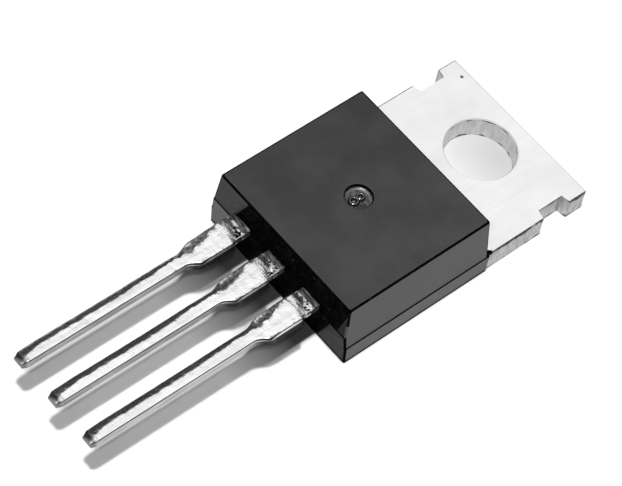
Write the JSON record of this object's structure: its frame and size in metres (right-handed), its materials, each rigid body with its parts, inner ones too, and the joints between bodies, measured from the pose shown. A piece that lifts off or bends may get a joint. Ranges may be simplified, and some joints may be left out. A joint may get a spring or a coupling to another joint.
{
  "type": "voltage regulator",
  "caption": "Flat black moulded body with a drilled, notched metal tab at one end and a row of long tinned leads at the other.",
  "frame": {"origin": "centre of the tab's mounting hole, on the flat back face", "axes": "+X across the leads, from the input lead to the output lead; +Y from the leads towards the end of the tab; +Z out of the front face"},
  "size_m": [0.01, 0.029, 0.0042],
  "materials": {
    "moulding_compound": "satin black epoxy moulding compound, fine spark texture",
    "tab_plating": "matte pale grey plating on copper",
    "tinned_lead": "bright dipped solder",
    "solder": "dull grey solder",
    "silicon": "smooth dark grey silicon",
    "bond_wire": "drawn aluminium wire"
  },
  "bodies": {
    "root": {"moulded_body": "moulding_compound", "header": "tab_plating", "input_lead": "tinned_lead", "output_lead": "tinned_lead", "die_attach": "solder", "die": "silicon", "input_wire": "bond_wire", "output_wire": "bond_wire", "sense_wire": "bond_wire", "ground_wire": "bond_wire"}
  },
  "joints": []
}
